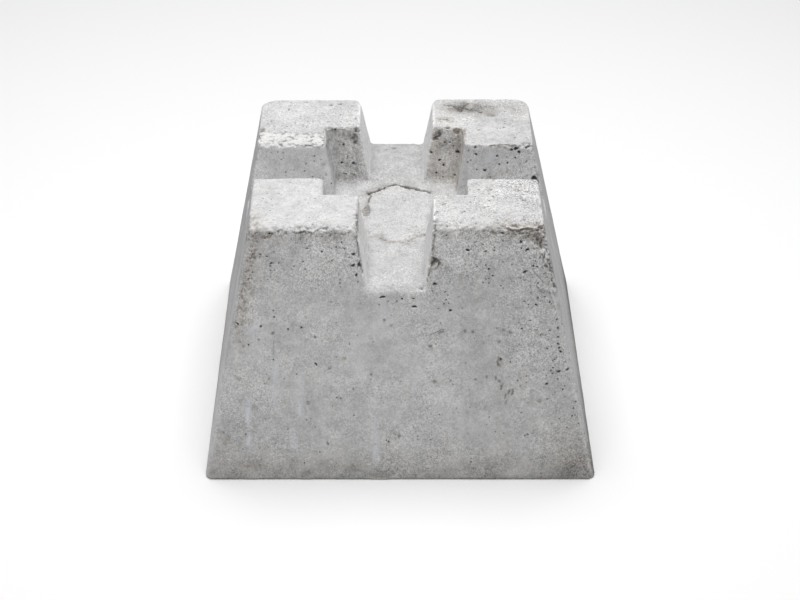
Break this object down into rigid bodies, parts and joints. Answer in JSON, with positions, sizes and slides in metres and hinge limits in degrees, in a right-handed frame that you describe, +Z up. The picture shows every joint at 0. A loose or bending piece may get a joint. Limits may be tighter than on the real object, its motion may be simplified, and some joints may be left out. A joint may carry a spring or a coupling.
{
  "type": "concrete pier block",
  "caption": "Cast concrete deck pier block: a square tapered block whose top has a cross of tapered joist slots around a square post socket.",
  "frame": {"origin": "middle of the square foot, on the ground plane it stands on", "axes": "+Z up, through the block to its open top; X and Y along the two joist slots, which are alike; the side towards -Y is the one in the picture's foreground"},
  "size_m": [0.2793, 0.2794, 0.184],
  "materials": {
    "concrete": "matte"
  },
  "bodies": {
    "root": {"pier_block": "concrete"}
  },
  "joints": []
}
